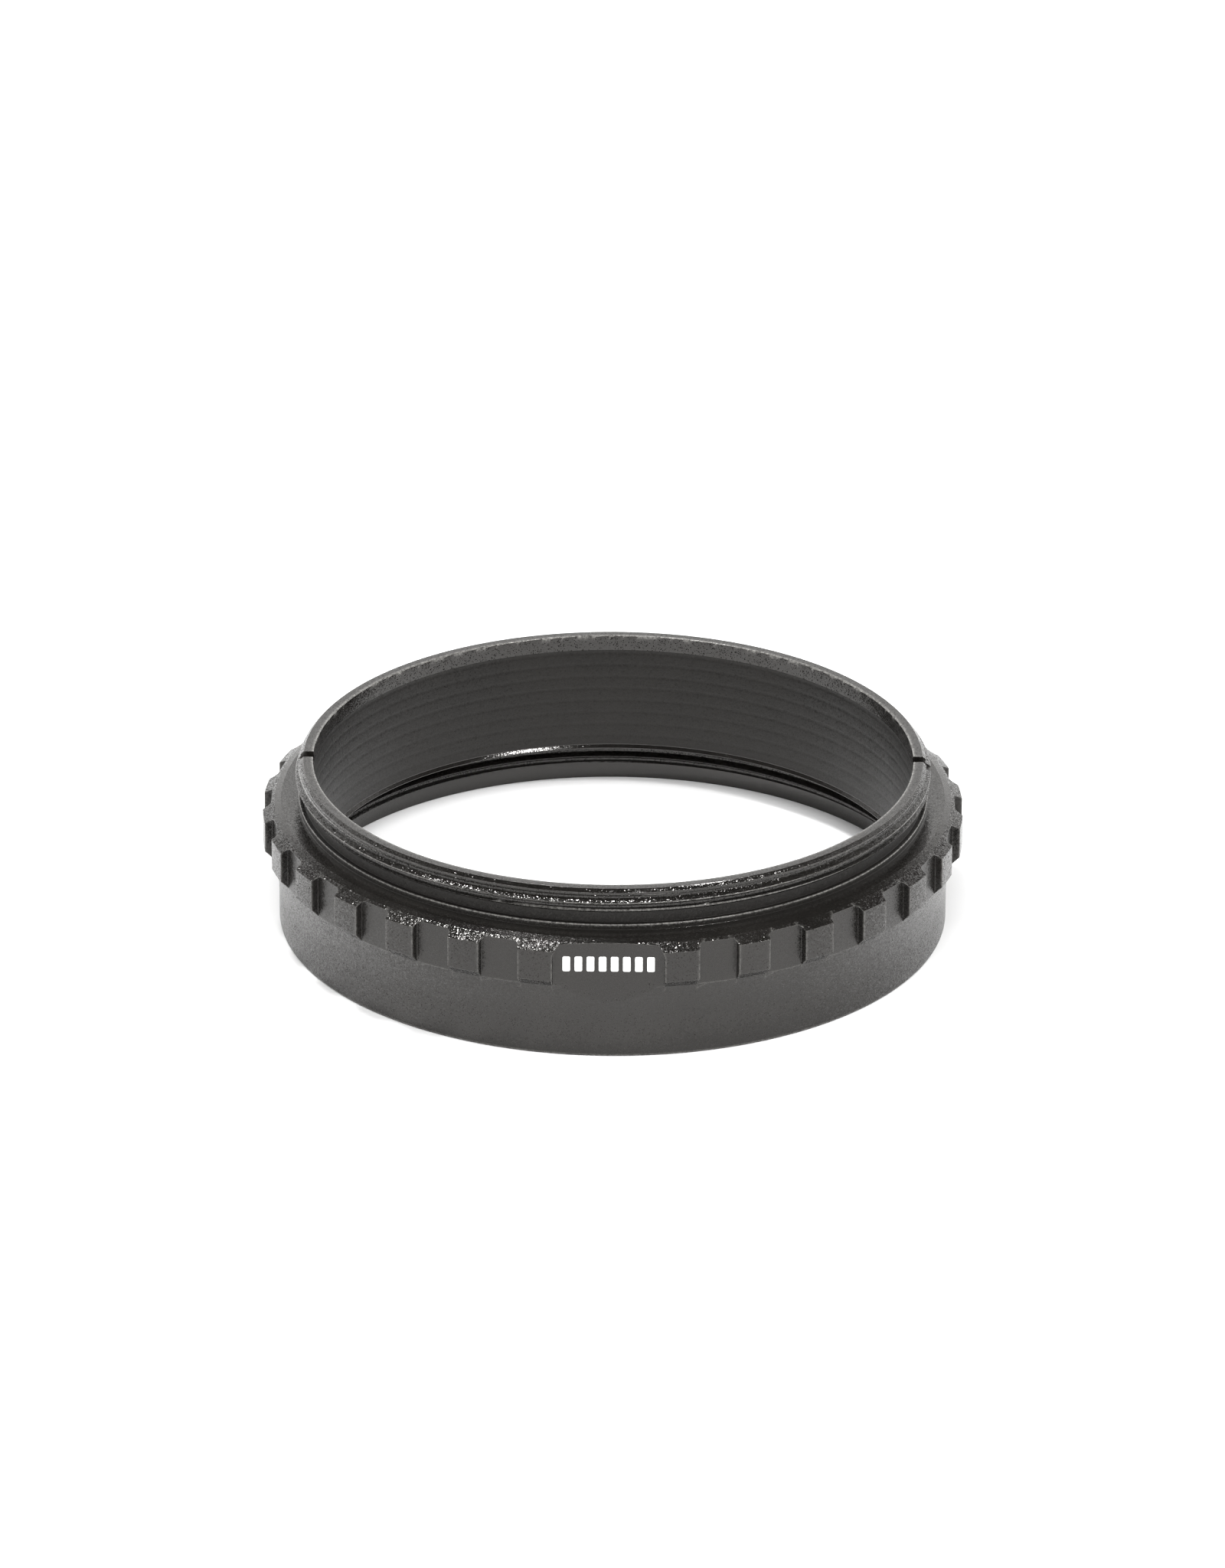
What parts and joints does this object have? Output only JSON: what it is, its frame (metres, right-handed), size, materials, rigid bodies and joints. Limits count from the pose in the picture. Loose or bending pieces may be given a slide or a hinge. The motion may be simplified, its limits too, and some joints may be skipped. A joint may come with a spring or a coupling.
{
  "type": "telescope extension ring",
  "caption": "Short black see-through extension ring with a gripped band, a male thread above and a female thread of the same size below.",
  "frame": {"origin": "on the ring's axis, in the plane of the bottom face", "axes": "+Z along the ring's axis, from the female end to the male end; -Y is the way the label flat faces"},
  "size_m": [0.053, 0.0527, 0.0128],
  "materials": {
    "anodised_body": "bead-blasted and black anodised, with shinier cut threads and seat",
    "white_ink": "matt white print"
  },
  "bodies": {
    "root": {"ring_body": "anodised_body", "white_marking": "white_ink"}
  },
  "joints": []
}
